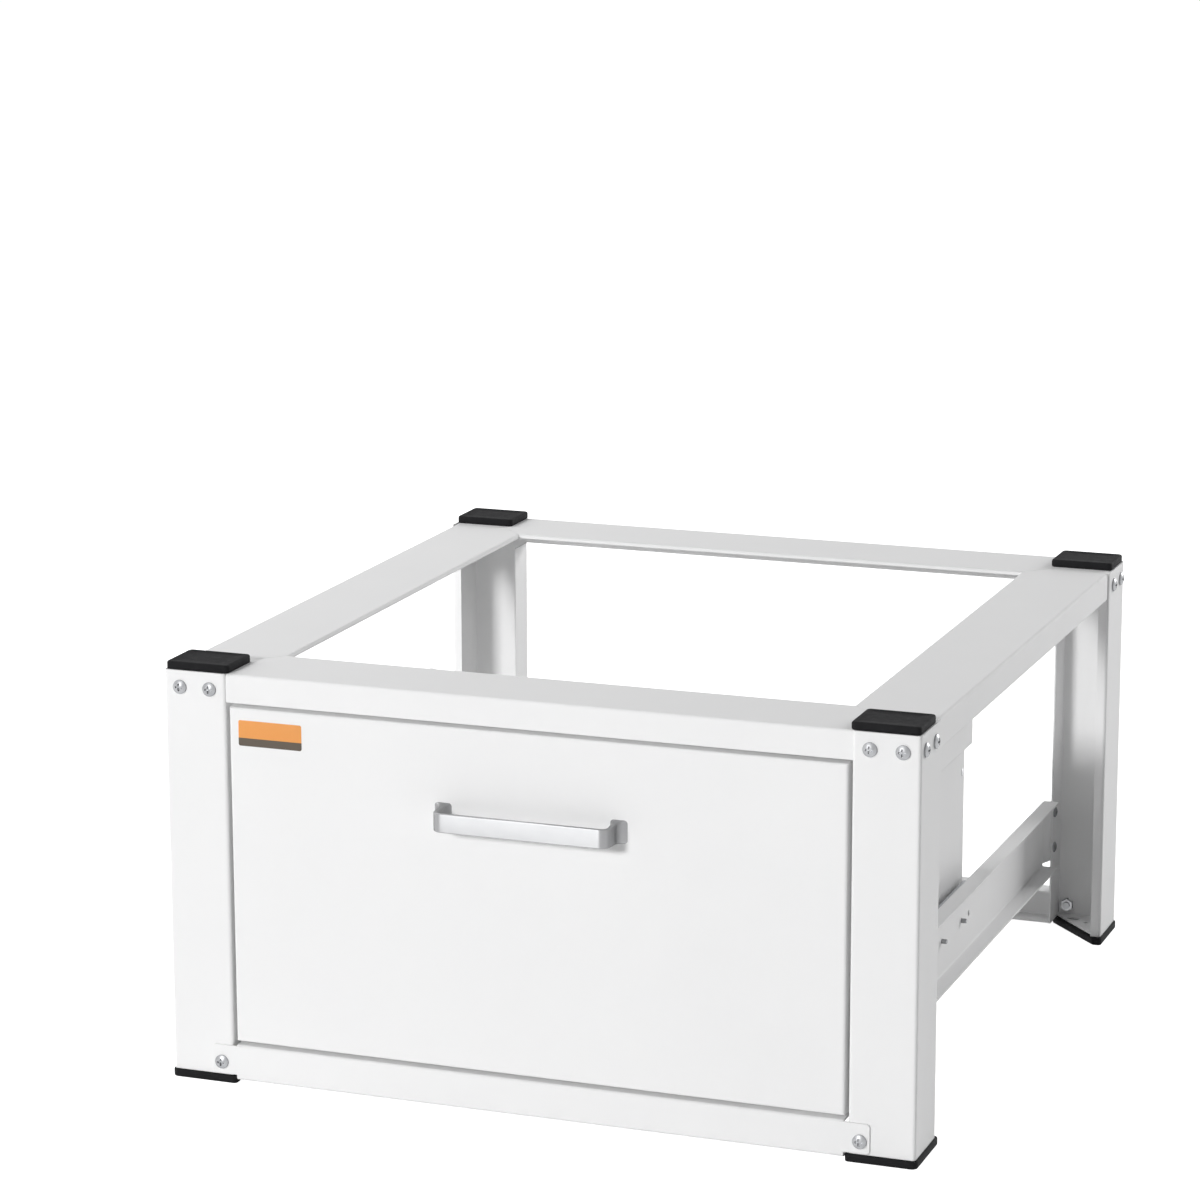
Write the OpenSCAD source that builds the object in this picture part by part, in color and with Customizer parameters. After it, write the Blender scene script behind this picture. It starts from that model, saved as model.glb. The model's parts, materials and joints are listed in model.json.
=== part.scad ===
// Raised metal stand for a front-loading washing machine: four sheet legs, a frame of top beams and a full-width
// drawer on telescopic slides. Millimetres, +X right, +Y back, +Z up. The drawer pulls out towards -Y.
// The origin is on the floor, at the centre of the footprint that the whole stand covers, handle included.

/* [Stand] */
// Width across the outer faces of the legs
frame_w = 630; // [500:5:800]
// Depth from the front faces of the front legs to the rear faces of the rear legs
frame_d = 660; // [560:5:800]
// Height from the floor to the top of the pads
frame_h = 350; // [320:5:500]
// Thickness of the sheet in legs, beams and rails
sheet_t = 1.5; // [1:0.1:2.5]
// Bend radius of that sheet, on its centre line
bend_r = 2; // [1.25:0.25:2.5]

/* [Legs] */
// Width of a leg seen from the front
leg_w = 54; // [40:1:70]
// Depth of a leg seen from the side
leg_d = 57; // [45:1:70]
// Width of the lip on a leg's outer flange, from its outer face
leg_outer_lip = 9; // [6:0.5:15]
// Depth of a leg's inner flange, where a rail end is bolted
leg_inner_d = 32; // [30:1:42]

/* [Top beams] */
// Width of a beam's top face
beam_w = 74; // [50:1:100]
// Height of a beam's outer flange
beam_drop = 23.5; // [20:0.5:40]
// Height of the lip along a beam's inner edge
beam_lip = 3.5; // [3.5:0.5:15]
// Distance from a beam's corner joint to each side of the cut
mitre_gap = 0.1; // [0.05:0.05:0.5]

/* [Pads] */
// Thickness of a top pad
top_pad_t = 6.5; // [3:0.5:12]
// Size of a top pad across the stand
top_pad_x = 55; // [30:1:70]
// Size of a top pad along the stand
top_pad_y = 45; // [30:1:70]
// Corner radius of a top pad
top_pad_r = 4; // [1:0.5:10]
// Thickness of a foot pad
foot_pad_t = 7; // [4:0.5:15]
// Length of a foot pad's edge along the front or the rear
foot_pad_x = 58; // [40:1:80]
// Length of a foot pad's edge along the side
foot_pad_y = 62; // [40:1:80]
// How far a foot pad stands out past the leg faces
foot_pad_out = 1.5; // [0:0.5:4]

/* [Lower beams] */
// Height of a lower beam's bottom edge over the floor
low_beam_z = 3.5; // [2:0.5:20]
// Height of a lower beam
low_beam_h = 30; // [20:1:60]
// Depth of a lower beam's flanges
low_beam_d = 21.5; // [10:0.5:30]
// Half the length of a lower beam over its ears
low_beam_reach = 279; // [262:1:310]

/* [Side rails] */
// Height of a rail's lower edge over the floor
rail_z = 63; // [50:1:120]
// Height of a rail
rail_h = 63; // [50:1:90]
// Width of a rail's upper flange past its web
rail_upper = 14; // [6:0.5:16]
// Width of a rail's lower flange past its web
rail_lower = 14; // [6:0.5:16]

/* [Drawer] */
// Gap round the drawer front in its opening
front_gap = 3; // [2:0.5:8]
// Gap between the drawer front and the lower beam
front_low_gap = 3; // [2:0.5:8]
// Depth of the folded drawer front
front_d = 18; // [12:1:30]
// Thickness of the sheet in the drawer
box_t = 1.2; // [0.8:0.1:1.5]
// Width of the drawer over its side walls
box_w = 485.6; // [400:0.1:600]
// Distance from the drawer front's face to the drawer's rear wall
box_back = 391; // [385:1:560]
// Height of the drawer's underside over the floor
box_z = 60; // [45:1:100]
// Height of the drawer's side walls
box_h = 200; // [120:1:260]
// Width of the folded rim on top of a side wall
rim_w = 7.2; // [5:0.1:12]
// Height of the rim's outer fold
rim_drop = 24; // [8:1:40]

/* [Slides] */
// Thickness of a slide between drawer and rail
slide_t = 12.7; // [12.7:0.1:13]
// Length of a slide's outer member
slide_len = 350; // [350:1:360]
// Distance from the drawer front's face to a slide's front end
slide_y = 30; // [25:1:45]
// Travel of the drawer
travel = 340; // [200:5:340]
// Balls in one row of a cage
balls_per_row = 8; // [4:1:8]

/* [Handle] */
// Distance of the handle's grip from the drawer front
handle_out = 26; // [20:1:40]
// Height of the handle's centre over the floor
handle_z = 246; // [150:0.5:280]
// Height of the grip
grip_h = 15.5; // [10:0.5:25]
// Thickness of the grip
grip_t = 3.5; // [2:0.5:8]
// Half the width over the handle's feet
handle_half = 81; // [50:1:120]
// Height of the handle's feet
handle_foot_h = 19; // [16:0.5:40]

/* [Fasteners] */
// Thread diameter of the frame screws
frame_thread = 6; // [4:1:8]
// Head diameter of the frame screws
head_d = 11.5; // [8:0.5:14]
// Head height of the frame screws
head_h = 3.2; // [2:0.1:5]
// Width across the flats of a frame nut
nut_flats = 10; // [8:0.5:13]
// Thickness of a frame nut
nut_t = 5; // [3:0.5:6.5]

/* [Hidden] */
$fn = 48;
clear = 0.05;
x_out = frame_w / 2;
x_in = x_out - leg_w;
deck_z = frame_h - top_pad_t;
beam_low_z = deck_z - beam_drop;
shoulder_z = beam_low_z - 0.5;
screw_z = deck_z - 13.5;
front_screw_x = [x_out - 40, x_out - 14];
side_screw_y = [13, 40];
low_screw_x = x_out - 44;
low_screw_z = low_beam_z + 14.5;
low_web_x = x_out - foot_pad_x + foot_pad_out - 0.7;
rail_x = box_w / 2 + slide_t;
rail_end = 20;
rail_y = leg_inner_d + 3;
rail_screw_y = 25;
rail_screw_z = [rail_z + 15, rail_z + rail_h - 15];
slide_z = rail_z + rail_h / 2;
slide_screw_y = [slide_y + 50, slide_y + 247, slide_y + 308];
member_len = slide_len - 6;
cage_y = slide_y + 88;
cage_len = 168;
ball_pitch = 20;
ball_r = 1.6;
front_x = x_in - front_gap;
front_z = low_beam_z + low_beam_h + front_low_gap;
front_top = beam_low_z - front_low_gap;
wall_x = box_w / 2;
box_front = front_d + box_t;
rim_z = box_z + box_h;
back_top = rim_z - 4;
flange_x = wall_x - 15;
handle_screw_x = handle_half - 9;
shift_y = -(frame_d + sheet_t + head_h - handle_out) / 2;

// ---- bent sheet and outlines ----

function unit(v) = v / norm(v);

function setback(path, i, r) =
    let (a = unit(path[i] - path[i - 1]), b = unit(path[i + 1] - path[i]))
    r * tan(acos(a * b) / 2);

// The flats of a bent strip: one rectangle for each straight run of its centre line
module strip_flats(path, t, r) {
    last = len(path) - 1;
    for (i = [0 : last - 1]) {
        run = path[i + 1] - path[i];
        from = i == 0 ? 0 : setback(path, i, r);
        to = i == last - 1 ? 0 : setback(path, i + 1, r);
        translate(path[i])
            rotate(atan2(run[1], run[0]))
                translate([from, -t / 2])
                    square([norm(run) - from - to, t]);
    }
}

// The bends of a bent strip: a sector of a ring at each inner point of its centre line
module strip_bends(path, t, r) {
    for (i = [1 : len(path) - 2]) {
        a = unit(path[i] - path[i - 1]);
        b = unit(path[i + 1] - path[i]);
        s = sign(a[0] * b[1] - a[1] * b[0]);
        na = s * [-a[1], a[0]];
        nb = s * [-b[1], b[0]];
        reach = 2 * (r + t);
        translate(path[i] - a * setback(path, i, r) + na * r)
            intersection() {
                difference() {
                    circle(r + t / 2);
                    circle(r - t / 2);
                }
                polygon([[0, 0], -na * reach, -(na + nb) * reach, -nb * reach]);
            }
    }
}

module bent_strip(path, t, r) {
    strip_flats(path, t, r);
    strip_bends(path, t, r);
}

function corner_half(p, q, s) = acos(unit(p - q) * unit(s - q)) / 2;

function corner_points(p, q, s, r) =
    r > 0
        ? [q + unit(p - q) * r / tan(corner_half(p, q, s)), q + unit(s - q) * r / tan(corner_half(p, q, s))]
        : [q];

// A convex outline whose corners have their own radii
module rounded_outline(points, radii) {
    n = len(points);
    polygon([
        for (i = [0 : n - 1])
            each corner_points(points[(i + n - 1) % n], points[i], points[(i + 1) % n], radii[i])
    ]);
    for (i = [0 : n - 1])
        if (radii[i] > 0) {
            p = points[(i + n - 1) % n];
            q = points[i];
            s = points[(i + 1) % n];
            translate(q + unit(unit(p - q) + unit(s - q)) * radii[i] / sin(corner_half(p, q, s)))
                circle(radii[i]);
        }
}

function box_points(x0, y0, x1, y1) = [[x0, y0], [x1, y0], [x1, y1], [x0, y1]];

// A profile drawn in Y and Z, extruded along X
module along_x(x0, x1) {
    translate([x0, 0, 0])
        rotate([90, 0, 90])
            linear_extrude(x1 - x0)
                children();
}

// A profile drawn in X and Z, extruded along Y
module along_y(y0, y1) {
    translate([0, y1, 0])
        rotate([90, 0, 0])
            linear_extrude(y1 - y0)
                children();
}

module along_z(z0, z1) {
    translate([0, 0, z0])
        linear_extrude(z1 - z0)
            children();
}

// Everything is drawn with Y = 0 on the front legs' faces, then set back to the origin
module placed() {
    translate([0, shift_y, 0])
        children();
}

module on_left() {
    mirror([1, 0, 0])
        children();
}

module at_rear() {
    translate([0, frame_d, 0])
        mirror([0, 1, 0])
            children();
}

module both_sides() {
    children();
    on_left()
        children();
}

module all_corners() {
    both_sides()
        children();
    at_rear()
        both_sides()
            children();
}

// ---- fasteners: the head's seat is at z = 0 and the shank runs down ----

module domed(r, h, edge) {
    rise = h - edge;
    ball = (r * r + rise * rise) / (2 * rise);
    intersection() {
        cylinder(r = r, h = h);
        translate([0, 0, h - ball])
            sphere(ball, $fn = 96);
    }
}

module cross_recess(size, width, depth) {
    for (turn = [0, 90])
        rotate(turn)
            translate([-size / 2, -width / 2, -depth])
                cube([size, width, depth + 1]);
}

module pan_screw(thread, head, height, length) {
    difference() {
        domed(head / 2, height, height * 0.4);
        translate([0, 0, height])
            cross_recess(head * 0.54, head * 0.15, height * 0.6);
    }
    translate([0, 0, -length])
        cylinder(r = thread / 2, h = length);
}

module hex_nut(thread, flats, height) {
    difference() {
        rotate(30)
            cylinder(r = flats / sqrt(3), h = height, $fn = 6);
        translate([0, 0, -1])
            cylinder(r = thread / 2 + clear, h = height + 2);
    }
}

module rivet(grip) {
    domed(3.2, 1.2, 0.3);
    translate([0, 0, -grip - 0.5])
        cylinder(r = 1.8, h = grip + 1);
    translate([0, 0, -grip - 1.2])
        cylinder(r = 2.6, h = 1.2);
}

module hole(r, depth) {
    translate([0, 0, -depth / 2])
        cylinder(r = r, h = depth);
}

// ---- legs ----

module leg_plan() {
    h = sheet_t / 2;
    bent_strip([
        [x_in + h, leg_inner_d],
        [x_in + h, h],
        [x_out - h, h],
        [x_out - h, leg_d - h],
        [x_out - leg_outer_lip, leg_d - h]
    ], sheet_t, bend_r);
}

module foot_plate_plan() {
    difference() {
        polygon([
            [x_in + sheet_t, sheet_t],
            [x_out - sheet_t, sheet_t],
            [x_out - sheet_t, leg_d - sheet_t],
            [x_out - 7, leg_d - sheet_t],
            [x_in + sheet_t, 6]
        ]);
        translate([x_in + 16, 11])
            square([6, 6]);
        for (x = [x_in + 16, x_in + 22])
            translate([x, 14])
                circle(3);
        translate([x_in + 33, 23])
            circle(2);
    }
}

module leg() {
    difference() {
        union() {
            along_z(foot_pad_t, deck_z)
                leg_plan();
            along_z(foot_pad_t, foot_pad_t + sheet_t)
                foot_plate_plan();
        }
        translate([x_in - 1, sheet_t, shoulder_z])
            cube([leg_w - sheet_t + 1, leg_d, beam_drop + 2]);
        for (x = front_screw_x)
            translate([x, 0, screw_z])
                rotate([90, 0, 0])
                    hole(frame_thread / 2 + 0.25, 4);
        for (y = side_screw_y)
            translate([x_out, y, screw_z])
                rotate([0, 90, 0])
                    hole(frame_thread / 2 + 0.25, 4);
        translate([low_screw_x, 0, low_screw_z])
            rotate([90, 0, 0])
                hole(frame_thread / 2 + 0.25, 4);
        for (z = rail_screw_z)
            translate([x_in, rail_screw_y, z])
                rotate([0, 90, 0])
                    hole(2.75, 4);
    }
}

module leg_front_left() {
    color("white")
        placed()
            on_left()
                leg();
}

module leg_front_right() {
    color("white")
        placed()
            leg();
}

module leg_rear_left() {
    color("white")
        placed()
            at_rear()
                on_left()
                    leg();
}

module leg_rear_right() {
    color("white")
        placed()
            at_rear()
                leg();
}

// ---- top beams ----

// The beam's section, with u measured inwards from the outer face
function beam_path(u0, way) = [
    [u0 + way * sheet_t / 2, beam_low_z],
    [u0 + way * sheet_t / 2, deck_z - sheet_t / 2],
    [u0 + way * (beam_w - sheet_t / 2), deck_z - sheet_t / 2],
    [u0 + way * (beam_w - sheet_t / 2), deck_z - beam_lip]
];

module cross_beam() {
    a = x_out - sheet_t - mitre_gap;
    m = beam_w + 5;
    difference() {
        intersection() {
            along_x(-x_out, x_out)
                bent_strip(beam_path(sheet_t, 1), sheet_t, bend_r);
            along_z(beam_low_z - 1, deck_z + 1)
                polygon([[-a, sheet_t], [a, sheet_t], [a - m, sheet_t + m], [m - a, sheet_t + m]]);
        }
        both_sides()
            for (x = front_screw_x)
                translate([x, 2 * sheet_t, screw_z])
                    rotate([90, 0, 0])
                        hole(frame_thread / 2 + 0.25, 4);
    }
}

module side_beam() {
    a = x_out - sheet_t;
    m = beam_w + 5;
    y0 = sheet_t + mitre_gap;
    y1 = frame_d - y0;
    difference() {
        intersection() {
            along_y(0, frame_d)
                bent_strip(beam_path(a, -1), sheet_t, bend_r);
            along_z(beam_low_z - 1, deck_z + 1)
                polygon([[a, y0], [a, y1], [a - m, y1 - m], [a - m, y0 + m]]);
        }
        for (y = side_screw_y)
            for (at = [y, frame_d - y])
                translate([x_out - 2 * sheet_t, at, screw_z])
                    rotate([0, 90, 0])
                        hole(frame_thread / 2 + 0.25, 4);
    }
}

module top_beam_front() {
    color("white")
        placed()
            cross_beam();
}

module top_beam_rear() {
    color("white")
        placed()
            at_rear()
                cross_beam();
}

module top_beam_left() {
    color("white")
        placed()
            on_left()
                side_beam();
}

module top_beam_right() {
    color("white")
        placed()
            side_beam();
}

// ---- lower beams ----

module low_beam() {
    h = sheet_t / 2;
    top = low_beam_z + low_beam_h;
    difference() {
        union() {
            along_x(-low_web_x, low_web_x)
                bent_strip([
                    [low_beam_d - sheet_t, top - h],
                    [-h, top - h],
                    [-h, low_beam_z + h],
                    [low_beam_d - sheet_t, low_beam_z + h]
                ], sheet_t, bend_r);
            both_sides()
                along_y(-sheet_t, 0)
                    rounded_outline(
                        box_points(low_web_x - 4, foot_pad_t + 1, low_beam_reach, top - 1),
                        [0, 3, 3, 0]
                    );
        }
        both_sides()
            translate([low_screw_x, 0, low_screw_z])
                rotate([90, 0, 0])
                    hole(frame_thread / 2 + 0.25, 4);
    }
}

module lower_beam_front() {
    color("white")
        placed()
            low_beam();
}

module lower_beam_rear() {
    color("white")
        placed()
            at_rear()
                low_beam();
}

// ---- side rails ----

module rail() {
    h = sheet_t / 2;
    top = rail_z + rail_h;
    y0 = rail_y + 9;
    y1 = frame_d - y0;
    difference() {
        union() {
            along_y(y0, y1)
                bent_strip([
                    [rail_x + sheet_t + rail_upper, top - h],
                    [rail_x + h, top - h],
                    [rail_x + h, rail_z + h],
                    [rail_x + sheet_t + rail_lower, rail_z + h]
                ], sheet_t, bend_r);
            along_z(rail_z + 4, top - 4)
                bent_strip([
                    [x_in - h, rail_end],
                    [x_in - h, y0 - 10],
                    [rail_x + h, y0],
                    [rail_x + h, y1],
                    [x_in - h, y1 + 10],
                    [x_in - h, frame_d - rail_end]
                ], sheet_t, bend_r);
        }
        for (z = rail_screw_z)
            for (y = [rail_screw_y, frame_d - rail_screw_y])
                translate([x_in, y, z])
                    rotate([0, 90, 0])
                        hole(2.75, 4);
        for (y = slide_screw_y)
            translate([rail_x, y, slide_z])
                rotate([0, 90, 0])
                    hole(2 + clear, 4);
        translate([rail_x, slide_y + 331, slide_z])
            rotate([0, 90, 0])
                hole(2.5, 4);
    }
}

module side_rail_left() {
    color("white")
        placed()
            on_left()
                rail();
}

module side_rail_right() {
    color("white")
        placed()
            rail();
}

// ---- pads ----

module top_pad() {
    x = x_out - 1;
    along_z(deck_z, frame_h)
        rounded_outline(box_points(x - top_pad_x, 1, x, 1 + top_pad_y), [for (i = [1 : 4]) top_pad_r]);
}

module foot_pad() {
    x = x_out + foot_pad_out;
    y = -foot_pad_out;
    along_z(0, foot_pad_t)
        rounded_outline([
            [x, y],
            [x, y + foot_pad_y],
            [x - 8, y + foot_pad_y],
            [x - foot_pad_x, y + 8.5],
            [x - foot_pad_x, y]
        ], [5, 3, 3, 3, 3]);
}

module top_pad_front_left() {
    color("dimgray")
        placed()
            on_left()
                top_pad();
}

module top_pad_front_right() {
    color("dimgray")
        placed()
            top_pad();
}

module top_pad_rear_left() {
    color("dimgray")
        placed()
            at_rear()
                on_left()
                    top_pad();
}

module top_pad_rear_right() {
    color("dimgray")
        placed()
            at_rear()
                top_pad();
}

module foot_pad_front_left() {
    color("dimgray")
        placed()
            on_left()
                foot_pad();
}

module foot_pad_front_right() {
    color("dimgray")
        placed()
            foot_pad();
}

module foot_pad_rear_left() {
    color("dimgray")
        placed()
            at_rear()
                on_left()
                    foot_pad();
}

module foot_pad_rear_right() {
    color("dimgray")
        placed()
            at_rear()
                foot_pad();
}

// ---- frame fasteners ----

module at_corner_screws() {
    for (x = front_screw_x)
        translate([x, 0, screw_z])
            rotate([90, 0, 0])
                children();
    for (y = side_screw_y)
        translate([x_out, y, screw_z])
            rotate([0, 90, 0])
                children();
}

module corner_screws() {
    color("silver")
        placed()
            all_corners()
                at_corner_screws()
                    pan_screw(frame_thread, head_d, head_h, 10);
}

module corner_nuts() {
    color("silver")
        placed()
            all_corners()
                at_corner_screws()
                    translate([0, 0, -2 * sheet_t - nut_t])
                        hex_nut(frame_thread, nut_flats, nut_t);
}

module at_low_screws() {
    all_corners()
        translate([low_screw_x, -sheet_t, low_screw_z])
            rotate([90, 0, 0])
                children();
}

module lower_beam_screws() {
    color("silver")
        placed()
            at_low_screws()
                pan_screw(frame_thread, head_d, head_h, 10);
}

module lower_beam_nuts() {
    color("silver")
        placed()
            at_low_screws()
                translate([0, 0, -2 * sheet_t - nut_t])
                    hex_nut(frame_thread, nut_flats, nut_t);
}

module at_rail_screws() {
    all_corners()
        for (z = rail_screw_z)
            translate([x_in + sheet_t, rail_screw_y, z])
                rotate([0, 90, 0])
                    children();
}

module rail_screws() {
    color("silver")
        placed()
            at_rail_screws()
                pan_screw(5, 9.5, 2.6, 7.5);
}

module rail_nuts() {
    color("silver")
        placed()
            at_rail_screws()
                translate([0, 0, -2 * sheet_t - 4])
                    hex_nut(5, 8, 4);
}

// ---- slides: u runs from the drawer wall to the rail, v up from the slide's centre line ----

function slide_path(open_u, back_u, v) = [
    [wall_x + open_u, slide_z + v],
    [wall_x + back_u, slide_z + v],
    [wall_x + back_u, slide_z - v],
    [wall_x + open_u, slide_z - v]
];

module slide_hole(y, u, r) {
    translate([wall_x + u, y, slide_z])
        rotate([0, 90, 0])
            hole(r, 4);
}

module outer_member() {
    lip = [[wall_x + 3.6, slide_z + 19.5]];
    low_lip = [[wall_x + 3.6, slide_z - 19.5]];
    back = slide_t - 0.6;
    difference() {
        along_y(slide_y, slide_y + slide_len)
            bent_strip(concat(lip, slide_path(3.6, back, 21.9), low_lip), 1.2, 1.1);
        for (y = slide_screw_y)
            translate([wall_x + slide_t, y, slide_z])
                rotate([0, -90, 0])
                    countersink(clear);
        for (y = [slide_y + 110, slide_y + 170, slide_y + 331])
            slide_hole(y, back, 2.5);
    }
}

// A flat head and the seat that it fills: the axis runs from the rail towards the drawer
module countersink(extra) {
    translate([0, 0, -1])
        cylinder(r = 2 + extra, h = 2.3);
    translate([0, 0, 0.1])
        cylinder(r1 = 2.1 + extra, r2 = 3.5 + extra, h = 1.1);
    if (extra > 0)
        translate([0, 0, 1.19])
            cylinder(r = 3.5 + extra, h = 1);
}

module flat_screw() {
    difference() {
        countersink(0);
        translate([0, 0, 1.2])
            cross_recess(4, 0.9, 0.7);
    }
    translate([0, 0, -6])
        cylinder(r = 2, h = 6);
}

module middle_member() {
    difference() {
        along_y(slide_y, slide_y + member_len)
            bent_strip(slide_path(1.6, 9.7, 16.7), 1.2, 1.1);
        for (y = [slide_y + 60, slide_y + 190, slide_y + 320])
            slide_hole(y, 9.7, 3);
    }
}

module inner_member() {
    difference() {
        along_y(slide_y, slide_y + member_len)
            bent_strip(slide_path(8, 0.6, 11.5), 1.2, 1.1);
        for (y = [slide_y + 30, slide_y + 170, slide_y + 310])
            slide_hole(y, 0.6, 2 + clear);
    }
}

module at_balls(u, v) {
    for (i = [0 : balls_per_row - 1])
        for (s = [-1, 1])
            translate([wall_x + u, cage_y + 14 + i * ball_pitch, slide_z + s * v])
                children();
}

module cage(open_u, back_u, v, ball_u) {
    difference() {
        along_y(cage_y, cage_y + cage_len)
            bent_strip(slide_path(open_u, back_u, v), 0.4, 0.7);
        at_balls(ball_u, v)
            hole(ball_r + 0.15, 3);
    }
}

module balls(u, v) {
    at_balls(u, v)
        sphere(ball_r, $fn = 24);
}

module slide_outer_left() {
    color("gray")
        placed()
            on_left()
                outer_member();
}

module slide_outer_right() {
    color("gray")
        placed()
            outer_member();
}

module slide_middle_left() {
    color("gray")
        placed()
            on_left()
                middle_member();
}

module slide_middle_right() {
    color("gray")
        placed()
            middle_member();
}

module slide_inner_left() {
    color("gray")
        placed()
            on_left()
                inner_member();
}

module slide_inner_right() {
    color("gray")
        placed()
            inner_member();
}

module outer_cage_left() {
    color("gainsboro")
        placed()
            on_left()
                cage(4.7, 10.9, 19.3, 7.2);
}

module outer_cage_right() {
    color("gainsboro")
        placed()
            cage(4.7, 10.9, 19.3, 7.2);
}

module outer_balls_left() {
    color("silver")
        placed()
            on_left()
                balls(7.2, 19.3);
}

module outer_balls_right() {
    color("silver")
        placed()
            balls(7.2, 19.3);
}

module inner_cage_left() {
    color("gainsboro")
        placed()
            on_left()
                cage(2, 8.55, 14.1, 5);
}

module inner_cage_right() {
    color("gainsboro")
        placed()
            cage(2, 8.55, 14.1, 5);
}

module inner_balls_left() {
    color("silver")
        placed()
            on_left()
                balls(5, 14.1);
}

module inner_balls_right() {
    color("silver")
        placed()
            balls(5, 14.1);
}

module slide_outer_screws() {
    color("silver")
        placed()
            both_sides()
                for (y = slide_screw_y)
                    translate([wall_x + slide_t, y, slide_z])
                        rotate([0, -90, 0])
                            flat_screw();
}

module slide_inner_screws() {
    color("silver")
        placed()
            both_sides()
                for (y = [slide_y + 30, slide_y + 170, slide_y + 310])
                    translate([wall_x + 1.2, y, slide_z])
                        rotate([0, 90, 0])
                            pan_screw(4, 7, 2.2, 5);
}

module slide_buffers() {
    color("dimgray")
        placed()
            both_sides()
                translate([wall_x + 9.1, slide_y + member_len + 1, slide_z - 9])
                    cube([slide_t - 1.2 - 9.1, 4.5, 18]);
}

// ---- drawer ----

// A block with bend radii along all four edges of its front and its rear face
module folded_block(x, y0, y1, z0, z1, r) {
    radii = [r, r, r, r];
    intersection() {
        along_z(z0, z1)
            rounded_outline(box_points(-x, y0, x, y1), radii);
        along_x(-x, x)
            rounded_outline(box_points(y0, z0, y1, z1), radii);
    }
}

module drawer_front() {
    t = box_t;
    color("white")
        placed()
            difference() {
                folded_block(front_x, 0, front_d, front_z, front_top, 2.2);
                folded_block(front_x - t, t, front_d - t, front_z + t, front_top - t, 1);
                translate([-front_x + 32, front_d / 2, front_z + 15])
                    cube([2 * front_x - 64, front_d, front_top - front_z - 30]);
                both_sides() {
                    translate([handle_screw_x, 0, handle_z])
                        rotate([90, 0, 0])
                            hole(2.2, 4);
                    at_box_screws()
                        hole(2.75, 12);
                }
            }
}

module drawer_liner() {
    color("white")
        placed()
            difference() {
                along_y(front_d, box_front)
                    rounded_outline(box_points(5 - front_x, front_z + 5, front_x - 5, front_top - 5), [3, 3, 3, 3]);
                both_sides() {
                    translate([handle_screw_x, front_d, handle_z])
                        rotate([90, 0, 0])
                            hole(7, 6);
                    at_box_screws()
                        hole(2.75, 12);
                }
                for (x = [-150, 0, 150])
                    translate([x, front_d, box_z + 10])
                        rotate([90, 0, 0])
                            hole(1.85, 6);
            }
}

// Screws through a side wall's front flange: the head is inside the drawer
module at_box_screws() {
    for (z = [box_z + 30, box_z + 100, box_z + 170])
        translate([wall_x - 7.3, box_front + box_t, z])
            rotate([-90, 0, 0])
                children();
}

module at_side_rivets() {
    for (y = [60, 200, 340])
        translate([wall_x - 8, y, box_z + 2 * box_t])
            children();
}

module at_back_rivets() {
    for (z = [box_z + 12, box_z + 151])
        translate([wall_x, box_back - 6.5, z])
            rotate([0, 90, 0])
                children();
}

module side_wall() {
    t = box_t;
    h = t / 2;
    difference() {
        union() {
            along_y(box_front + t + 1.5, box_back - 1.6)
                bent_strip([
                    [wall_x + rim_w - h, rim_z - rim_drop],
                    [wall_x + rim_w - h, rim_z - h],
                    [wall_x - h, rim_z - h],
                    [wall_x - h, box_z + h],
                    [flange_x, box_z + h]
                ], t, 1.6);
            along_z(box_z + 4, rim_z - 4)
                bent_strip([
                    [flange_x, box_front + h],
                    [wall_x - h, box_front + h],
                    [wall_x - h, box_back]
                ], t, 1.6);
        }
        at_box_screws()
            hole(2.75, 12);
        at_side_rivets()
            hole(1.85, 8);
        at_back_rivets()
            hole(1.85, 8);
        for (y = [slide_y + 30, slide_y + 170, slide_y + 310])
            slide_hole(y, -h, 2 + clear);
    }
}

module drawer_side_left() {
    color("white")
        placed()
            on_left()
                side_wall();
}

module drawer_side_right() {
    color("white")
        placed()
            side_wall();
}

module drawer_back() {
    t = box_t;
    h = t / 2;
    x = wall_x - t - 0.2;
    low_x = flange_x - 1.5;
    color("white")
        placed()
            difference() {
                union() {
                    along_x(-low_x, low_x)
                        bent_strip([
                            [box_back - 14, box_z + h],
                            [box_back - h, box_z + h],
                            [box_back - h, back_top - h],
                            [box_back - 9, back_top - h]
                        ], t, 1.6);
                    along_z(box_z + 4, back_top - 3)
                        bent_strip([
                            [-x + h, box_back - 14],
                            [-x + h, box_back - h],
                            [x - h, box_back - h],
                            [x - h, box_back - 14]
                        ], t, 1.6);
                }
                both_sides()
                    at_back_rivets()
                        hole(1.85, 8);
                for (at = [-150, 0, 150])
                    translate([at, box_back - 9, box_z])
                        hole(1.85, 8);
            }
}

module drawer_bottom() {
    t = box_t;
    z = box_z + t;
    color("white")
        placed()
            difference() {
                union() {
                    along_x(-flange_x + 1.5, flange_x - 1.5)
                        bent_strip([
                            [box_front + t / 2, z + 14],
                            [box_front + t / 2, z + t / 2],
                            [box_back - t - 1.1, z + t / 2]
                        ], t, 1.6);
                    along_z(z, z + t)
                        polygon(box_points(
                            1.1 + t - wall_x, box_front + t + 1.6, wall_x - t - 1.1, box_back - t - 1.1
                        ));
                }
                both_sides()
                    at_side_rivets()
                        hole(1.85, 8);
                for (x = [-150, 0, 150]) {
                    translate([x, box_front, box_z + 10])
                        rotate([90, 0, 0])
                            hole(1.85, 6);
                    translate([x, box_back - 9, box_z])
                        hole(1.85, 8);
                }
            }
}

module drawer_screws() {
    color("silver")
        placed()
            both_sides()
                at_box_screws()
                    pan_screw(5, 9.5, 2.6, 10);
}

module drawer_nuts() {
    color("silver")
        placed()
            both_sides()
                at_box_screws()
                    translate([0, 0, -3 * box_t - 4])
                        hex_nut(5, 8, 4);
}

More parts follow.
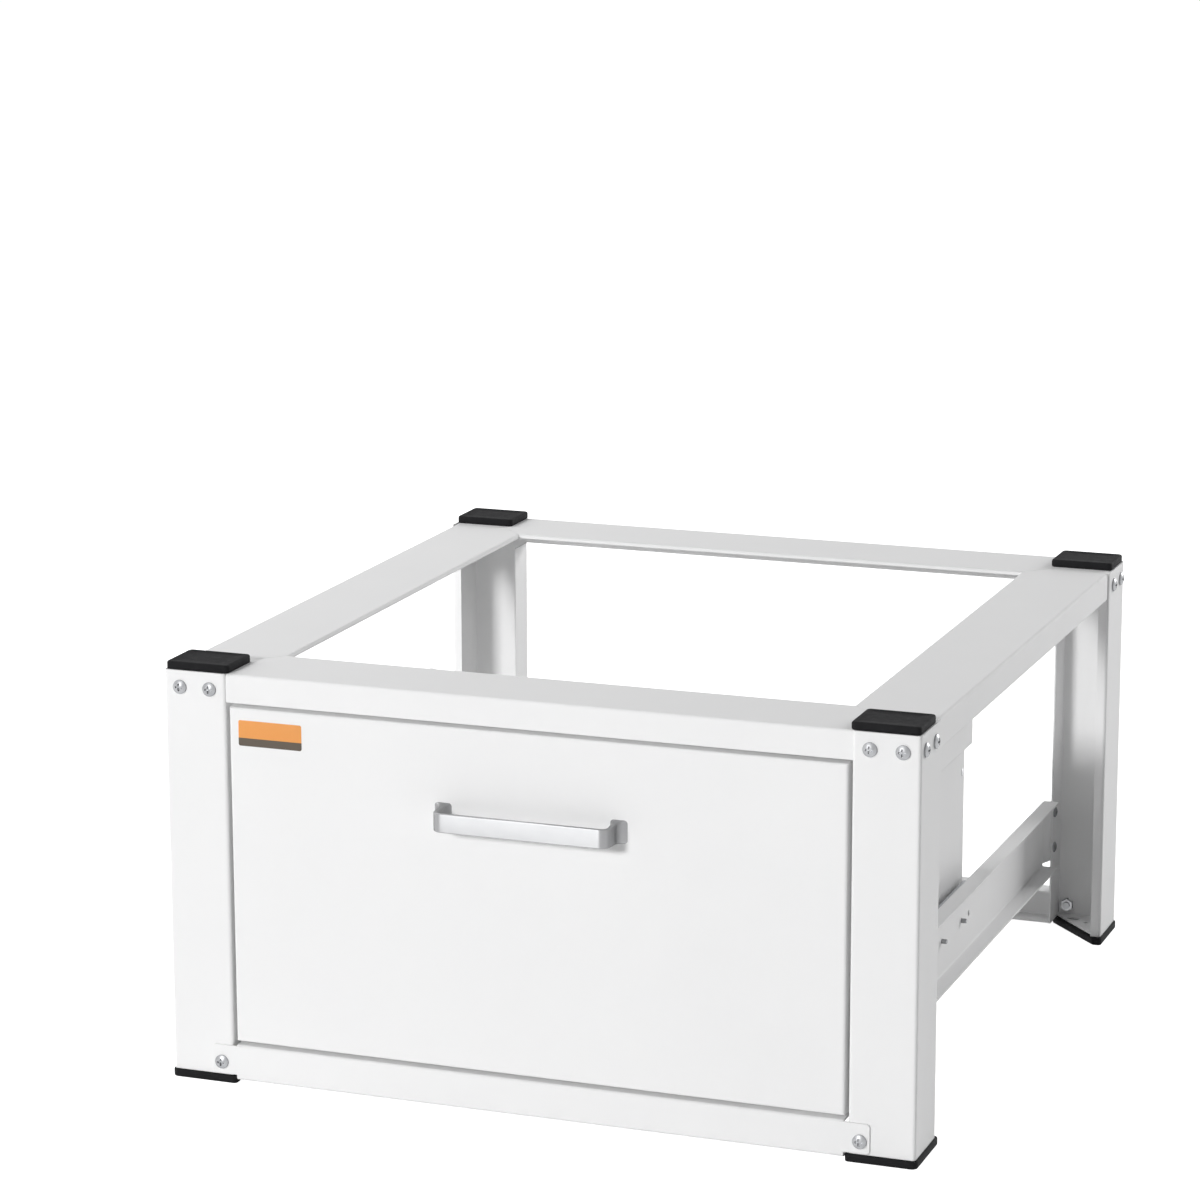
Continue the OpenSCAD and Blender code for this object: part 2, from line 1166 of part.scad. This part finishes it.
module drawer_rivets() {
    color("silver")
        placed() {
            both_sides() {
                at_side_rivets()
                    rivet(2 * box_t);
                at_back_rivets()
                    rivet(2 * box_t + 0.2);
            }
            for (x = [-150, 0, 150]) {
                translate([x, box_front + box_t, box_z + 10])
                    rotate([-90, 0, 0])
                        rivet(2 * box_t);
                translate([x, box_back - 9, box_z + 2 * box_t])
                    rivet(2 * box_t);
            }
        }
}

// ---- handle ----

module grip_plan() {
    outer = handle_half - 7;
    inner = outer - grip_t - 1;
    difference() {
        rounded_outline(box_points(-outer, -handle_out, outer, 0), [8.5, 8.5, 0, 0]);
        rounded_outline(box_points(-inner, grip_t - handle_out, inner, 1), [5, 5, 0, 0]);
    }
    for (s = [0, 1])
        mirror([s, 0])
            rounded_outline([
                [handle_half - 15, 0],
                [handle_half - 12, -8],
                [handle_half - 6, -8],
                [handle_half, -1.5],
                [handle_half, 0]
            ], [0, 0, 0, 1, 0]);
}

module grip_front() {
    g = grip_h / 2;
    f = handle_foot_h / 2;
    e = handle_half + 0.5;
    inner = handle_half - 17;
    translate([-inner - 1, -g])
        square([2 * inner + 2, grip_h]);
    for (s = [0, 1])
        mirror([s, 0])
            rounded_outline([
                [inner, -g],
                [e - 6, -f],
                [e, 3 - f],
                [e, f - 3],
                [e - 6, f],
                [inner, g]
            ], [0, 3, 3, 3, 3, 0]);
}

module handle() {
    color("silver")
        placed()
            translate([0, 0, handle_z])
                difference() {
                    intersection() {
                        along_z(-handle_foot_h, handle_foot_h)
                            grip_plan();
                        along_y(-handle_out - 1, 1)
                            grip_front();
                    }
                    both_sides()
                        translate([handle_screw_x, 0, 0])
                            rotate([90, 0, 0])
                                hole(2 + clear, 14);
                }
}

module handle_screws() {
    color("silver")
        placed()
            both_sides()
                translate([handle_screw_x, box_t, handle_z])
                    rotate([-90, 0, 0])
                        pan_screw(4, 8, 2.4, 7.5);
}

// ---- sticker in the drawer front's upper left corner ----

module sticker() {
    color("orange")
        placed()
            translate([8 - front_x, -0.3, front_top - 31])
                cube([55, 0.3, 21]);
}

leg_front_left();
leg_front_right();
leg_rear_left();
leg_rear_right();
top_beam_front();
top_beam_rear();
top_beam_left();
top_beam_right();
lower_beam_front();
lower_beam_rear();
side_rail_left();
side_rail_right();
top_pad_front_left();
top_pad_front_right();
top_pad_rear_left();
top_pad_rear_right();
foot_pad_front_left();
foot_pad_front_right();
foot_pad_rear_left();
foot_pad_rear_right();
corner_screws();
corner_nuts();
lower_beam_screws();
lower_beam_nuts();
rail_screws();
rail_nuts();
slide_outer_left();
slide_outer_right();
slide_middle_left();
slide_middle_right();
slide_inner_left();
slide_inner_right();
outer_cage_left();
outer_cage_right();
outer_balls_left();
outer_balls_right();
inner_cage_left();
inner_cage_right();
inner_balls_left();
inner_balls_right();
slide_outer_screws();
slide_inner_screws();
slide_buffers();
drawer_front();
drawer_liner();
drawer_side_left();
drawer_side_right();
drawer_back();
drawer_bottom();
drawer_screws();
drawer_nuts();
drawer_rivets();
handle();
handle_screws();
sticker();
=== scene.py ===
"""Looks for the washing machine stand with a drawer: materials, finer pads, handle and sticker, light and camera.

Everything is in metres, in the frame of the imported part: +X right, +Y back, +Z up. Sizes below are in
millimetres from the front legs' faces and the floor, as in the part's source, and are turned into metres once.
"""

import json
import math

import bmesh
import bpy
from mathutils import Matrix, Vector


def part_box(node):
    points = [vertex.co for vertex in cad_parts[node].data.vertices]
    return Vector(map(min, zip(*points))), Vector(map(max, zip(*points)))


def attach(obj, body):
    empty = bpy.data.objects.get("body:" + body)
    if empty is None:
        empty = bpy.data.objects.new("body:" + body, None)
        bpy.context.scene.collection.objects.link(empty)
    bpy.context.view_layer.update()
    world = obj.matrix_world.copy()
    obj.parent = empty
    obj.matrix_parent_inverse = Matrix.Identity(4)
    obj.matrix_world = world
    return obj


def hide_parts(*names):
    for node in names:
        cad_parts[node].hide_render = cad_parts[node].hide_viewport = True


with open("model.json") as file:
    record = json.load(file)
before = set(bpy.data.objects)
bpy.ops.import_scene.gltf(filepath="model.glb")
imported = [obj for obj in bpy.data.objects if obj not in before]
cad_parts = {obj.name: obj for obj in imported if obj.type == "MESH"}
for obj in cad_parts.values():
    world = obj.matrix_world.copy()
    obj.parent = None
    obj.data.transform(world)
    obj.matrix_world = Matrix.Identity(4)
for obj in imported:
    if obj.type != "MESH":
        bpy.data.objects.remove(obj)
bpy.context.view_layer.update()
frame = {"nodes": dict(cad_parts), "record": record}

nodes = frame["nodes"]

# The front legs' faces lie at this Y
FRONT_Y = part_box("leg_front_right")[0].y


def at(x, y, z):
    """Millimetres from the front legs' faces, mid-width and the floor, as a point in metres."""
    return Vector((x / 1000, FRONT_Y + y / 1000, z / 1000))


# ---------------------------------------------------------------- camera and world


# The photograph's camera, solved from the corners of the pads, legs and beams: angles in degrees, then its way back,
# to the right and up from the floor under the front legs, in its own directions
AZIMUTH, ELEVATION, ROLL = 20.465, 12.737, -0.157
WAY_BACK, WAY_RIGHT, WAY_UP = 3185.356, 54.774, 416.006
# Focal length in units of the picture's width, and the sensor's width in millimetres
FOCAL_WIDTHS, SENSOR_W = 4012.288 / 1200.0, 36.0


def make_camera():
    azimuth, elevation, roll = math.radians(AZIMUTH), math.radians(ELEVATION), math.radians(ROLL)
    level = math.cos(elevation)
    back = Vector((math.sin(azimuth) * level, -math.cos(azimuth) * level, math.sin(elevation)))
    right = Vector((math.cos(azimuth), math.sin(azimuth), 0.0))
    up = back.cross(right)
    place = right * WAY_RIGHT + up * WAY_UP + back * WAY_BACK
    right, up = right * math.cos(roll) + up * math.sin(roll), up * math.cos(roll) - right * math.sin(roll)
    data = bpy.data.cameras.new("camera")
    data.sensor_fit = "HORIZONTAL"
    data.sensor_width = SENSOR_W
    data.lens = SENSOR_W * FOCAL_WIDTHS
    data.clip_start, data.clip_end = 0.05, 60.0
    camera = bpy.data.objects.new("camera", data)
    turn = Matrix((right, up, back)).transposed().to_4x4()
    camera.matrix_world = Matrix.Translation(at(place.x, place.y, place.z)) @ turn
    bpy.context.scene.collection.objects.link(camera)
    bpy.context.scene.camera = camera


def seen_rays(tree):
    """One for a ray that the camera, a gloss or a clear surface sends out, and nothing for light on a dull surface."""
    path = tree.nodes.new("ShaderNodeLightPath")
    seen = path.outputs["Is Camera Ray"]
    for name in ("Is Glossy Ray", "Is Transmission Ray"):
        most = tree.nodes.new("ShaderNodeMath")
        most.operation = "MAXIMUM"
        tree.links.new(seen, most.inputs[0])
        tree.links.new(path.outputs[name], most.inputs[1])
        seen = most.outputs[0]
    return seen


# Strength of the world's light on dull surfaces
WORLD_LIGHT = 0.124


def make_world():
    """Soft even light, with plain white where the camera, a gloss or a clear surface looks past the object."""
    world = bpy.data.worlds.new("studio")
    bpy.context.scene.world = world
    world.use_nodes = True
    tree = world.node_tree
    tree.nodes.clear()
    soft = tree.nodes.new("ShaderNodeBackground")
    soft.inputs["Color"].default_value = (0.985, 0.99, 1.0, 1.0)
    soft.inputs["Strength"].default_value = WORLD_LIGHT
    white = tree.nodes.new("ShaderNodeBackground")
    white.inputs["Color"].default_value = (1.0, 1.0, 1.0, 1.0)
    mix = tree.nodes.new("ShaderNodeMixShader")
    out = tree.nodes.new("ShaderNodeOutputWorld")
    tree.links.new(seen_rays(tree), mix.inputs[0])
    tree.links.new(soft.outputs[0], mix.inputs[1])
    tree.links.new(white.outputs[0], mix.inputs[2])
    tree.links.new(mix.outputs[0], out.inputs[0])


# ---------------------------------------------------------------- materials


class Finish:
    """A node-based material around one Principled shader, in the part's own coordinates."""

    def __init__(self, name, **fixed):
        self.material = bpy.data.materials.new(name)
        self.material.use_nodes = True
        self.tree = self.material.node_tree
        self.shader = self.tree.nodes["Principled BSDF"]
        for key, value in fixed.items():
            self.shader.inputs[key.replace("_", " ")].default_value = value
        self.place = self.tree.nodes.new("ShaderNodeTexCoord").outputs["Object"]
        self.normal = None

    def stretched(self, scale):
        node = self.tree.nodes.new("ShaderNodeMapping")
        node.inputs["Scale"].default_value = scale
        self.tree.links.new(self.place, node.inputs["Vector"])
        return node.outputs[0]

    def noise(self, scale, detail=2.0, rough=0.5, vector=None):
        node = self.tree.nodes.new("ShaderNodeTexNoise")
        node.inputs["Scale"].default_value = scale
        node.inputs["Detail"].default_value = detail
        node.inputs["Roughness"].default_value = rough
        self.tree.links.new(vector or self.place, node.inputs["Vector"])
        return node.outputs["Fac"]

    def cells(self, scale):
        node = self.tree.nodes.new("ShaderNodeTexVoronoi")
        node.inputs["Scale"].default_value = scale
        self.tree.links.new(self.place, node.inputs["Vector"])
        return node.outputs["Distance"]

    def span(self, fac, low, high, start=0.0, end=1.0):
        node = self.tree.nodes.new("ShaderNodeMapRange")
        node.inputs["From Min"].default_value = start
        node.inputs["From Max"].default_value = end
        node.inputs["To Min"].default_value = low
        node.inputs["To Max"].default_value = high
        self.tree.links.new(fac, node.inputs["Value"])
        return node.outputs["Result"]

    def blend(self, fac, first, second):
        """Mixes two colours, each given as a value or as a socket."""
        node = self.tree.nodes.new("ShaderNodeMix")
        node.data_type = "RGBA"
        self.tree.links.new(fac, node.inputs["Factor"])
        for socket, value in ((node.inputs[6], first), (node.inputs[7], second)):
            if isinstance(value, bpy.types.NodeSocket):
                self.tree.links.new(value, socket)
            else:
                socket.default_value = (*value, 1.0)
        return node.outputs[2]

    def colour(self, socket):
        self.tree.links.new(socket, self.shader.inputs["Base Color"])

    def roughness(self, socket):
        self.tree.links.new(socket, self.shader.inputs["Roughness"])

    def bump(self, height, strength, distance):
        """Adds relief on top of what the normal holds already."""
        node = self.tree.nodes.new("ShaderNodeBump")
        node.inputs["Strength"].default_value = strength
        node.inputs["Distance"].default_value = distance
        self.tree.links.new(height, node.inputs["Height"])
        if self.normal:
            self.tree.links.new(self.normal, node.inputs["Normal"])
        self.normal = node.outputs["Normal"]
        self.tree.links.new(self.normal, self.shader.inputs["Normal"])

    def soft_edges(self, radius):
        node = self.tree.nodes.new("ShaderNodeBevel")
        node.samples = 4
        node.inputs["Radius"].default_value = radius
        self.normal = node.outputs["Normal"]
        self.tree.links.new(self.normal, self.shader.inputs["Normal"])

    def axis(self, name):
        node = self.tree.nodes.new("ShaderNodeSeparateXYZ")
        self.tree.links.new(self.place, node.inputs[0])
        return node.outputs[name]


# ---- finishes: noise scales are per metre, bump distances and bevel radii in metres


def powder_coat():
    f = Finish("white_powder_coat", Specular_IOR_Level=0.2)
    f.soft_edges(0.0009)
    f.bump(f.noise(14.0, 1.0), 0.25, 0.0012)
    f.bump(f.noise(1100.0, 2.0), 0.16, 0.0002)
    f.colour(f.blend(f.noise(9.0, 3.0), (0.857, 0.857, 0.859), (0.886, 0.886, 0.886)))
    f.roughness(f.span(f.noise(60.0, 3.0), 0.5, 0.6))
    return f.material


def rubber():
    f = Finish("moulded_rubber", Specular_IOR_Level=0.2, IOR=1.3)
    f.bump(f.cells(1500.0), 0.35, 0.0003)
    f.bump(f.noise(240.0, 4.0), 0.2, 0.0003)
    f.colour(f.blend(f.noise(55.0, 5.0, 0.65), (0.008, 0.008, 0.009), (0.018, 0.018, 0.019)))
    f.roughness(f.span(f.noise(180.0, 3.0), 0.62, 0.85))
    return f.material


def bright_zinc():
    f = Finish("bright_zinc", Metallic=1.0)
    f.soft_edges(0.0003)
    f.bump(f.noise(900.0, 4.0), 0.12, 0.0001)
    f.colour(f.blend(f.noise(160.0, 4.0), (0.24, 0.245, 0.255), (0.4, 0.405, 0.415)))
    f.roughness(f.span(f.noise(420.0, 3.0), 0.32, 0.46))
    return f.material


def dull_zinc():
    f = Finish("dull_zinc", Metallic=1.0)
    f.soft_edges(0.0003)
    f.bump(f.noise(700.0, 4.0), 0.15, 0.0001)
    f.colour(f.blend(f.noise(120.0, 4.0), (0.4, 0.41, 0.42), (0.58, 0.58, 0.59)))
    f.roughness(f.span(f.noise(300.0, 3.0), 0.34, 0.5))
    return f.material


def rolled_steel():
    f = Finish("rolled_slide_steel", Metallic=1.0)
    f.soft_edges(0.0003)
    drawn = f.noise(1.0, 4.0, 0.6, f.stretched((1600.0, 6.0, 1600.0)))
    f.bump(drawn, 0.2, 0.0001)
    f.colour(f.blend(drawn, (0.3, 0.31, 0.33), (0.44, 0.45, 0.47)))
    f.roughness(f.span(f.noise(200.0, 3.0), 0.28, 0.42))
    return f.material


def brushed_metal():
    """A strap ground along its length, which smears a lamp's reflection up and down."""
    f = Finish("brushed_metal", Metallic=1.0, Anisotropic=0.8, Anisotropic_Rotation=0.25)
    brushed = f.noise(1.0, 4.0, 0.6, f.stretched((8.0, 1500.0, 1500.0)))
    f.bump(brushed, 0.06, 0.0001)
    f.colour(f.blend(f.noise(60.0, 2.0), (0.3, 0.302, 0.308), (0.35, 0.352, 0.358)))
    f.roughness(f.span(brushed, 0.44, 0.52))
    return f.material


def polished_balls():
    f = Finish("polished_balls", Metallic=1.0)
    f.colour(f.blend(f.noise(300.0), (0.66, 0.67, 0.68), (0.78, 0.79, 0.8)))
    f.roughness(f.span(f.noise(900.0), 0.08, 0.16))
    return f.material


def moulded_plastic():
    f = Finish("moulded_plastic", Specular_IOR_Level=0.4)
    f.bump(f.noise(1300.0, 3.0), 0.2, 0.0002)
    f.colour(f.blend(f.noise(90.0, 3.0), (0.03, 0.03, 0.032), (0.055, 0.055, 0.057)))
    f.roughness(f.span(f.noise(200.0), 0.45, 0.6))
    return f.material


# Half the height over which the sticker's two tones meet
PRINT_BLUR = 0.00012


def printed_film(split):
    """Plain two-tone film: warm orange over a dark band, with a faint print grain."""
    f = Finish("two_tone_film", Specular_IOR_Level=0.5)
    grain = f.noise(2600.0, 2.0)
    orange = f.blend(grain, (0.74, 0.28, 0.06), (0.82, 0.35, 0.085))
    dark = f.blend(grain, (0.06, 0.045, 0.03), (0.1, 0.075, 0.05))
    above = f.span(f.axis("Z"), 0.0, 1.0, split - PRINT_BLUR, split + PRINT_BLUR)
    f.colour(f.blend(above, dark, orange))
    f.roughness(f.span(f.noise(140.0), 0.3, 0.42))
    f.bump(f.noise(120.0, 2.0), 0.12, 0.0003)
    return f.material


# How much the floor is lifted for the eye
FLOOR_GLOW = 0.9


def paper_floor():
    """A white sheet, lifted to the background's white for the eye alone, so that only the soft shadow shows."""
    f = Finish("floor_sheet", Specular_IOR_Level=0.0)
    f.shader.inputs["Emission Color"].default_value = (1.0, 1.0, 1.0, 1.0)
    f.tree.links.new(f.span(seen_rays(f.tree), 0.0, FLOOR_GLOW), f.shader.inputs["Emission Strength"])
    f.colour(f.blend(f.noise(3.0, 2.0), (0.9, 0.9, 0.9), (0.915, 0.915, 0.915)))
    f.roughness(f.span(f.noise(40.0), 0.85, 0.95))
    return f.material


white = powder_coat()
black = rubber()
screw_zinc = bright_zinc()
nut_zinc = dull_zinc()
slide_steel = rolled_steel()
strap_metal = brushed_metal()
ball_steel = polished_balls()
plastic = moulded_plastic()

BY_SLOT = {
    "white_steel": white,
    "black_rubber": black,
    "zinc_screws": screw_zinc,
    "zinc_nuts": nut_zinc,
    "slide_steel": slide_steel,
    "cage_steel": nut_zinc,
    "ball_steel": ball_steel,
    "buffer_plastic": plastic,
    "bright_handle": strap_metal,
}

slot_of = {row["node"]: row["material_slot"] for row in frame["record"]["subparts"]}
for name, thing in nodes.items():
    finish = BY_SLOT.get(slot_of[name])
    if finish:
        if not thing.material_slots:
            thing.data.materials.append(finish)
        for slot in thing.material_slots:
            slot.material = finish

# ---------------------------------------------------------------- mesh helpers


def add_piece(name, points, faces, body, material, stands_for, smooth_to):
    """A closed mesh that rides on a body in place of the named nodes, smooth up to an angle in degrees."""
    mesh = bpy.data.meshes.new(name)
    mesh.from_pydata([tuple(p) for p in points], [], faces)
    mesh.validate()
    shell = bmesh.new()
    shell.from_mesh(mesh)
    bmesh.ops.recalc_face_normals(shell, faces=shell.faces)
    shell.to_mesh(mesh)
    shell.free()
    piece = bpy.data.objects.new(name, mesh)
    bpy.context.scene.collection.objects.link(piece)
    mesh.materials.append(material)
    mesh.shade_smooth()
    mesh.set_sharp_from_angle(angle=math.radians(smooth_to))
    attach(piece, body)
    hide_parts(*stands_for)
    return piece


def inset_corners(corners, inset):
    """A convex outline's corners, anticlockwise, after each side has moved in by inset."""
    count = len(corners)
    lines = []
    for i in range(count):
        a, b = Vector(corners[i]), Vector(corners[(i + 1) % count])
        along = (b - a).normalized()
        inward = Vector((-along.y, along.x))
        lines.append((a + inward * inset, along))
    moved = []
    for i in range(count):
        (p, d), (q, e) = lines[i - 1], lines[i]
        cross = d.x * e.y - d.y * e.x
        w = q - p
        moved.append(p + d * ((w.x * e.y - w.y * e.x) / cross))
    return moved


LEAST_RADIUS = 0.4


def rounded_loop(corners, radii, inset, steps):
    """Points round a convex outline with rounded corners, moved in by inset."""
    moved = inset_corners(corners, inset)
    count = len(moved)
    loop = []
    for i in range(count):
        before, here, after = moved[i - 1], moved[i], moved[(i + 1) % count]
        u, v = (before - here).normalized(), (after - here).normalized()
        half = math.acos(max(-1.0, min(1.0, u.dot(v)))) / 2
        r = max(radii[i] - inset, LEAST_RADIUS)
        centre = here + (u + v).normalized() * (r / math.sin(half))
        first, last = here + u * (r / math.tan(half)) - centre, here + v * (r / math.tan(half)) - centre
        start = math.atan2(first.y, first.x)
        sweep = (math.atan2(last.y, last.x) - start + math.pi) % (2 * math.pi) - math.pi
        for k in range(steps + 1):
            angle = start + sweep * k / steps
            loop.append(centre + Vector((math.cos(angle), math.sin(angle))) * r)
    return loop


def side_faces(rings, ring):
    """Faces between each ring of points and the next, where a ring has so many points."""
    faces = []
    for k in range(rings - 1):
        for i in range(ring):
            j = (i + 1) % ring
            faces.append((k * ring + i, k * ring + j, (k + 1) * ring + j, (k + 1) * ring + i))
    return faces


def stacked(corners, radii, layers, place, steps=6):
    """A block from loops of one outline: layers holds (inset, height) from the bottom to the top."""
    points = []
    for inset, height in layers:
        points += [place(p.x, p.y, height) for p in rounded_loop(corners, radii, inset, steps)]
    ring = len(points) // len(layers)
    faces = side_faces(len(layers), ring)
    faces.append(tuple(reversed(range(ring))))
    faces.append(tuple(range((len(layers) - 1) * ring, len(layers) * ring)))
    return points, faces


# ---------------------------------------------------------------- pads

FRAME_W, FRAME_D, DECK_Z, TOP_Z = 630.0, 660.0, 343.5, 350.0
# A top pad's size, corner radius and distance from the frame's faces
TOP_PAD_X, TOP_PAD_Y, TOP_PAD_R, TOP_PAD_IN = 55.0, 45.0, 4.0, 1.0
# A foot pad's edges along the front and the side, the width of its two ends, its thickness and how far it stands out
FOOT_X, FOOT_Y, FOOT_END_X, FOOT_END_Y, FOOT_T, FOOT_OUT = 58.0, 62.0, 8.0, 8.5, 7.0, 1.5
FOOT_RADII = [5, 3, 3, 3, 3]


def corner_place(side, rear):
    """Puts a point drawn at the front right corner into one of the four corners."""

    def place(x, y, z):
        return at(side * x, FRAME_D - y if rear else y, z)

    return place


def make_pads():
    x1, y0 = FRAME_W / 2 - TOP_PAD_IN, TOP_PAD_IN
    x0, y1 = x1 - TOP_PAD_X, y0 + TOP_PAD_Y
    top_corners = [(x0, y0), (x1, y0), (x1, y1), (x0, y1)]
    # Rounded outer edges, a raised rim and a face that lies a little lower
    top_layers = [
        (0.9, DECK_Z), (0.25, DECK_Z + 0.3), (0.0, DECK_Z + 1.0),
        (0.0, TOP_Z - 1.5), (0.2, TOP_Z - 0.8), (0.7, TOP_Z - 0.25), (1.5, TOP_Z),
        (4.0, TOP_Z), (4.8, TOP_Z - 0.35), (12.0, TOP_Z - 0.45),
    ]
    x1, y0 = FRAME_W / 2 + FOOT_OUT, -FOOT_OUT
    x0, y1 = x1 - FOOT_X, y0 + FOOT_Y
    foot_corners = [(x1, y0), (x1, y1), (x1 - FOOT_END_X, y1), (x0, y0 + FOOT_END_Y), (x0, y0)]
    foot_layers = [(1.2, 0.0), (0.4, 0.35), (0.0, 1.2), (0.0, FOOT_T - 1.2), (0.35, FOOT_T - 0.4), (1.0, FOOT_T)]
    for side, word in ((-1, "left"), (1, "right")):
        for rear, end in ((False, "front"), (True, "rear")):
            place = corner_place(side, rear)
            points, faces = stacked(top_corners, [TOP_PAD_R] * 4, top_layers, place)
            add_piece(f"top_cushion_{end}_{word}", points, faces, "frame", black,
                      [f"top_pad_{end}_{word}"], smooth_to=50.0)
            points, faces = stacked(foot_corners, FOOT_RADII, foot_layers, place)
            add_piece(f"foot_cushion_{end}_{word}", points, faces, "frame", black,
                      [f"foot_pad_{end}_{word}"], smooth_to=50.0)


# ---------------------------------------------------------------- handle

# The handle's height on the panel, and how far its grip stands out
HANDLE_Z, HANDLE_OUT = 246.0, 26.0
# The strap's thickness, half its height, and the outer radius of the bends between grip and arms
GRIP_T, GRIP_HALF_H, GRIP_R = 3.5, 7.75, 8.5
# Half the width over the arms, past the bends and where the feet start
ARM_X, FLARE_X, FLARE_INNER_X = 74.0, 74.2, 69.8
# Distance of the feet's start from the panel, and half the strap's height there and at the panel
FLARE_Y, FLARE_HALF_H, FOOT_HALF_H = 9.5, 8.1, 9.4
# How far a foot spreads outwards and inwards
SPREAD_OUT, SPREAD_IN = 6.6, 3.4


def half_strap():
    """Stations from mid-width to the right foot: the strap's outer and inner edge in plan, and its half height."""
    front, back = -HANDLE_OUT, GRIP_T - HANDLE_OUT
    grip_x = (0.0, 16.0, 32.0, 48.0, 58.0, 63.0)
    stations = [(Vector((x, front)), Vector((x, back)), GRIP_HALF_H) for x in grip_x]
    centre = Vector((ARM_X - GRIP_R, GRIP_R - HANDLE_OUT))
    bend_steps, arm_steps, foot_steps = 12, 4, 10
    for k in range(bend_steps + 1):
        a = math.radians(90 * k / bend_steps)
        way = Vector((math.sin(a), -math.cos(a)))
        stations.append((centre + way * GRIP_R, centre + way * (GRIP_R - GRIP_T), GRIP_HALF_H))
    for k in range(1, arm_steps + 1):
        t = k / arm_steps
        y = centre.y + (-FLARE_Y - centre.y) * t
        outer = Vector((ARM_X + (FLARE_X - ARM_X) * t, y))
        inner = Vector((ARM_X - GRIP_T + (FLARE_INNER_X - ARM_X + GRIP_T) * t, y))
        stations.append((outer, inner, GRIP_HALF_H + (FLARE_HALF_H - GRIP_HALF_H) * t))
    for k in range(1, foot_steps + 1):
        t = k / foot_steps
        y = -FLARE_Y * (1 - t)
        outer = Vector((FLARE_X + SPREAD_OUT * t**2.6, y))
        inner = Vector((FLARE_INNER_X - SPREAD_IN * t**2.2, y))
        stations.append((outer, inner, FLARE_HALF_H + (FOOT_HALF_H - FLARE_HALF_H) * t * t * (3 - 2 * t)))
    return stations


# The section's edge radius, its largest share of half the thickness, and the points round one of its corners
EDGE_R, EDGE_SHARE, CORNER_POINTS = 2.8, 0.55, 8


def strap_loop(outer, inner, half_height):
    """A rounded section across the strap, between its outer and inner edge."""
    middle, across = (outer + inner) / 2, (outer - inner) / 2
    half = across.length
    across.normalize()
    r = min(EDGE_R, half * EDGE_SHARE)
    loop = []
    for su, sw, begin in ((1, 1, 0), (-1, 1, 90), (-1, -1, 180), (1, -1, 270)):
        for k in range(CORNER_POINTS):
            a = math.radians(begin + 90 * k / (CORNER_POINTS - 1))
            u = su * (half - r) + r * math.cos(a)
            w = sw * (half_height - r) + r * math.sin(a)
            p = middle + across * u
            loop.append((p.x, p.y, w))
    return loop


def make_handle():
    right = half_strap()
    loops = [[(-x, y, w) for x, y, w in strap_loop(*s)] for s in reversed(right[1:])]
    loops += [strap_loop(*s) for s in right]
    ring = len(loops[0])
    points = [at(x, y, HANDLE_Z + w) for loop in loops for x, y, w in loop]
    faces = [tuple(range(ring)), tuple(range(len(points) - ring, len(points)))]
    faces += side_faces(len(loops), ring)
    add_piece("bow_handle", points, faces, "drawer", strap_metal, ["handle"], smooth_to=35.0)


# ---------------------------------------------------------------- sticker


# Height of the sticker's dark band and radius of its corners
BAND_H, FILM_R = 6.6, 1.6


def make_sticker():
    low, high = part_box("sticker")
    split = low.z + BAND_H / 1000

    def place(x, y, depth):
        return Vector((x / 1000, high.y - depth / 1000, y / 1000))

    x0, z0, x1, z1 = low.x * 1000, low.z * 1000, high.x * 1000, high.z * 1000
    corners = [(x0, z0), (x1, z0), (x1, z1), (x0, z1)]
    layers = [(0.0, 0.0), (0.0, 0.2), (0.12, 0.27), (0.3, 0.3)]
    points, faces = stacked(corners, [FILM_R] * 4, layers, place, steps=5)
    add_piece("film_sticker", points, faces, "drawer", printed_film(split), ["sticker"],
              smooth_to=60.0)


make_pads()
make_handle()
make_sticker()

# ---------------------------------------------------------------- stage and light


FLOOR_REACH = 40.0


def make_floor():
    mesh = bpy.data.meshes.new("floor")
    s = FLOOR_REACH
    mesh.from_pydata([(-s, -s, 0), (s, -s, 0), (s, s, 0), (-s, s, 0)], [], [(0, 1, 2, 3)])
    floor = bpy.data.objects.new("floor", mesh)
    mesh.materials.append(paper_floor())
    bpy.context.scene.collection.objects.link(floor)


def softbox(name, place, target, width, height, watts):
    """A rectangular lamp that looks at a point: places in millimetres, its size in metres."""
    place, target = at(*place), at(*target)
    light = bpy.data.lights.new(name, "AREA")
    light.shape = "RECTANGLE"
    light.size, light.size_y = width, height
    light.energy = watts
    lamp = bpy.data.objects.new(name, light)
    lamp.location = place
    lamp.visible_camera = False
    lamp.rotation_mode = "QUATERNION"
    lamp.rotation_quaternion = (target - place).to_track_quat("-Z", "Y")
    bpy.context.scene.collection.objects.link(lamp)


make_camera()
make_world()
make_floor()
softbox("front_light", (-1900, -6200, 2500), (0, 200, 150), 1.5, 1.0, 306.0)
softbox("left_light", (-2600, 300, 1000), (-200, 300, 150), 1.6, 1.6, 17.0)
softbox("high_left_light", (-1700, 300, 2300), (-100, 300, 150), 1.6, 1.6, 20.0)
softbox("rear_light", (3240, 5250, 2335), (200, 500, 150), 3.0, 3.0, 228.0)

view = bpy.context.scene.view_settings
view.view_transform = "Standard"

bpy.context.view_layer.update()
